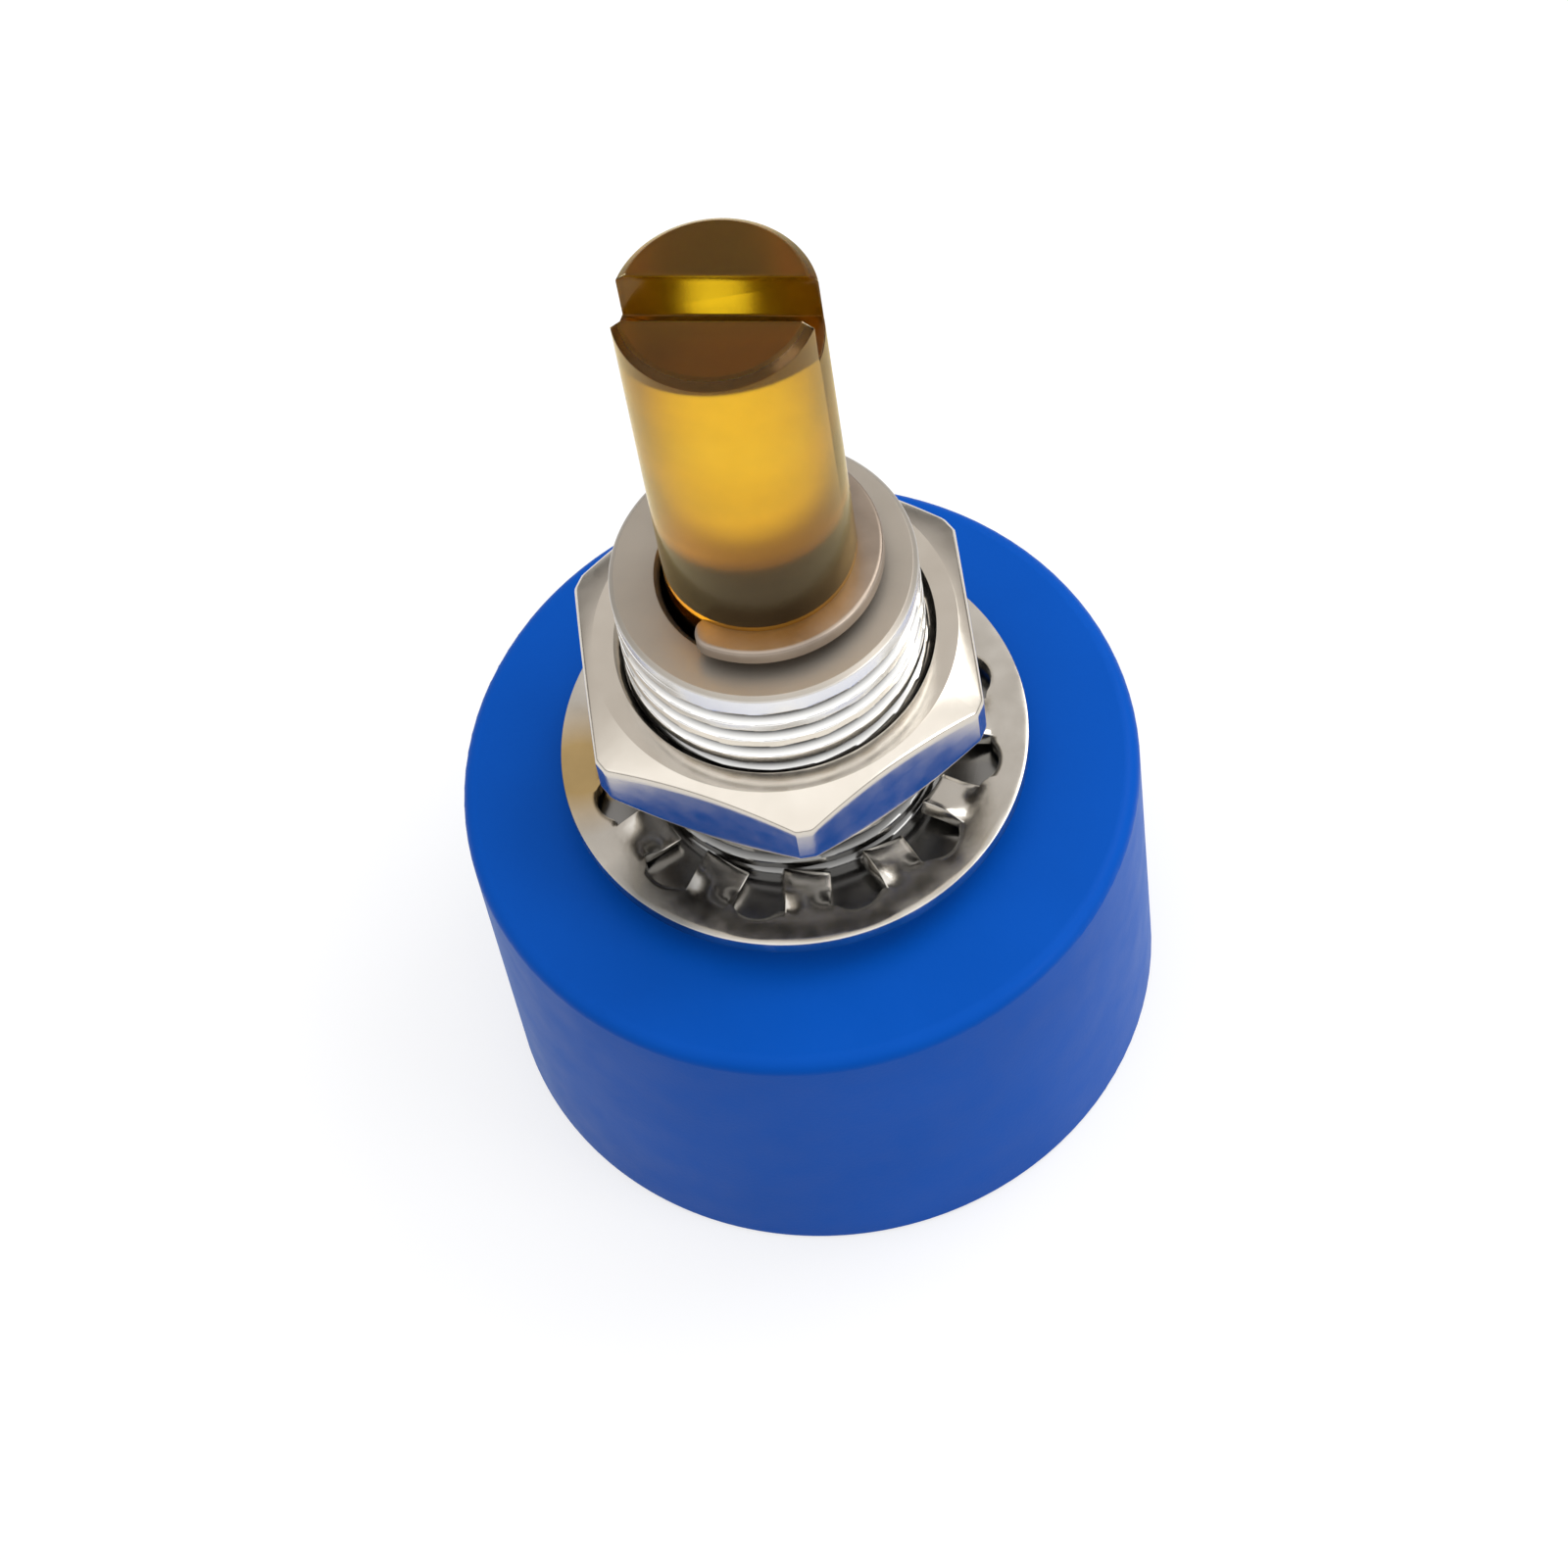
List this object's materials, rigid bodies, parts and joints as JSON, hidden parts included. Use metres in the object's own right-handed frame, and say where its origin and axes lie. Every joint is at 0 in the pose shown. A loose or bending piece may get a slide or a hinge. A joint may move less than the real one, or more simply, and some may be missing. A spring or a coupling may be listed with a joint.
{
  "type": "rotary potentiometer",
  "caption": "Panel-mount rotary potentiometer: blue moulded body, threaded bushing with lock washer and hex nut, and a slotted amber plastic shaft that turns between stops.",
  "frame": {"origin": "centre of the body's rear face", "axes": "+Z along the shaft from the rear face to the slotted tip, -Y towards the wiper's middle position, +Y towards the solder lugs, right-handed"},
  "size_m": [0.0222, 0.0272, 0.0387],
  "materials": {
    "blue_plastic": "smooth moulded blue, slightly satin",
    "blue_plastic_rear": "moulded blue, satin",
    "plated_bushing": "bright plated, turned",
    "plated_spring_steel": "plated stamped sheet",
    "nickel_nut": "nickel plated, slightly satin on the faces",
    "amber_plastic": "transparent amber plastic, polished on the side and fine-turned at the tip",
    "bronze_clip": "stamped spring bronze",
    "white_plastic": "plain",
    "black_plastic": "moulded",
    "brass_contact": "spring sheet",
    "contact_alloy": "bright precious-metal rod",
    "enamelled_copper": "enamel over copper",
    "resistance_wire": "fine wound wire",
    "tinned_lug": "tinned sheet",
    "copper_strap": "bare strip"
  },
  "bodies": {
    "stator": {"housing": "blue_plastic", "rear_cover": "blue_plastic_rear", "bushing": "plated_bushing", "lock_washer": "plated_spring_steel", "hex_nut": "nickel_nut", "ring_former": "enamelled_copper", "ring_winding": "resistance_wire", "pickoff_brush": "brass_contact", "start_lug": "tinned_lug", "wiper_lug": "tinned_lug", "end_lug": "tinned_lug", "start_strap": "copper_strap", "end_strap": "copper_strap"},
    "rotor": {"shaft": "amber_plastic", "retaining_clip": "bronze_clip", "thrust_washer": "white_plastic", "rotor_hub": "black_plastic", "slip_ring": "brass_contact", "wiper_arm": "brass_contact", "wiper_contact": "contact_alloy"}
  },
  "joints": [
    {"name": "shaft_turn", "type": "hinge", "parent": "stator", "child": "rotor", "pos_m": [0, 0, 0.0127], "axis": [0, 0, 1], "range_deg": [-160, 160]}
  ]
}
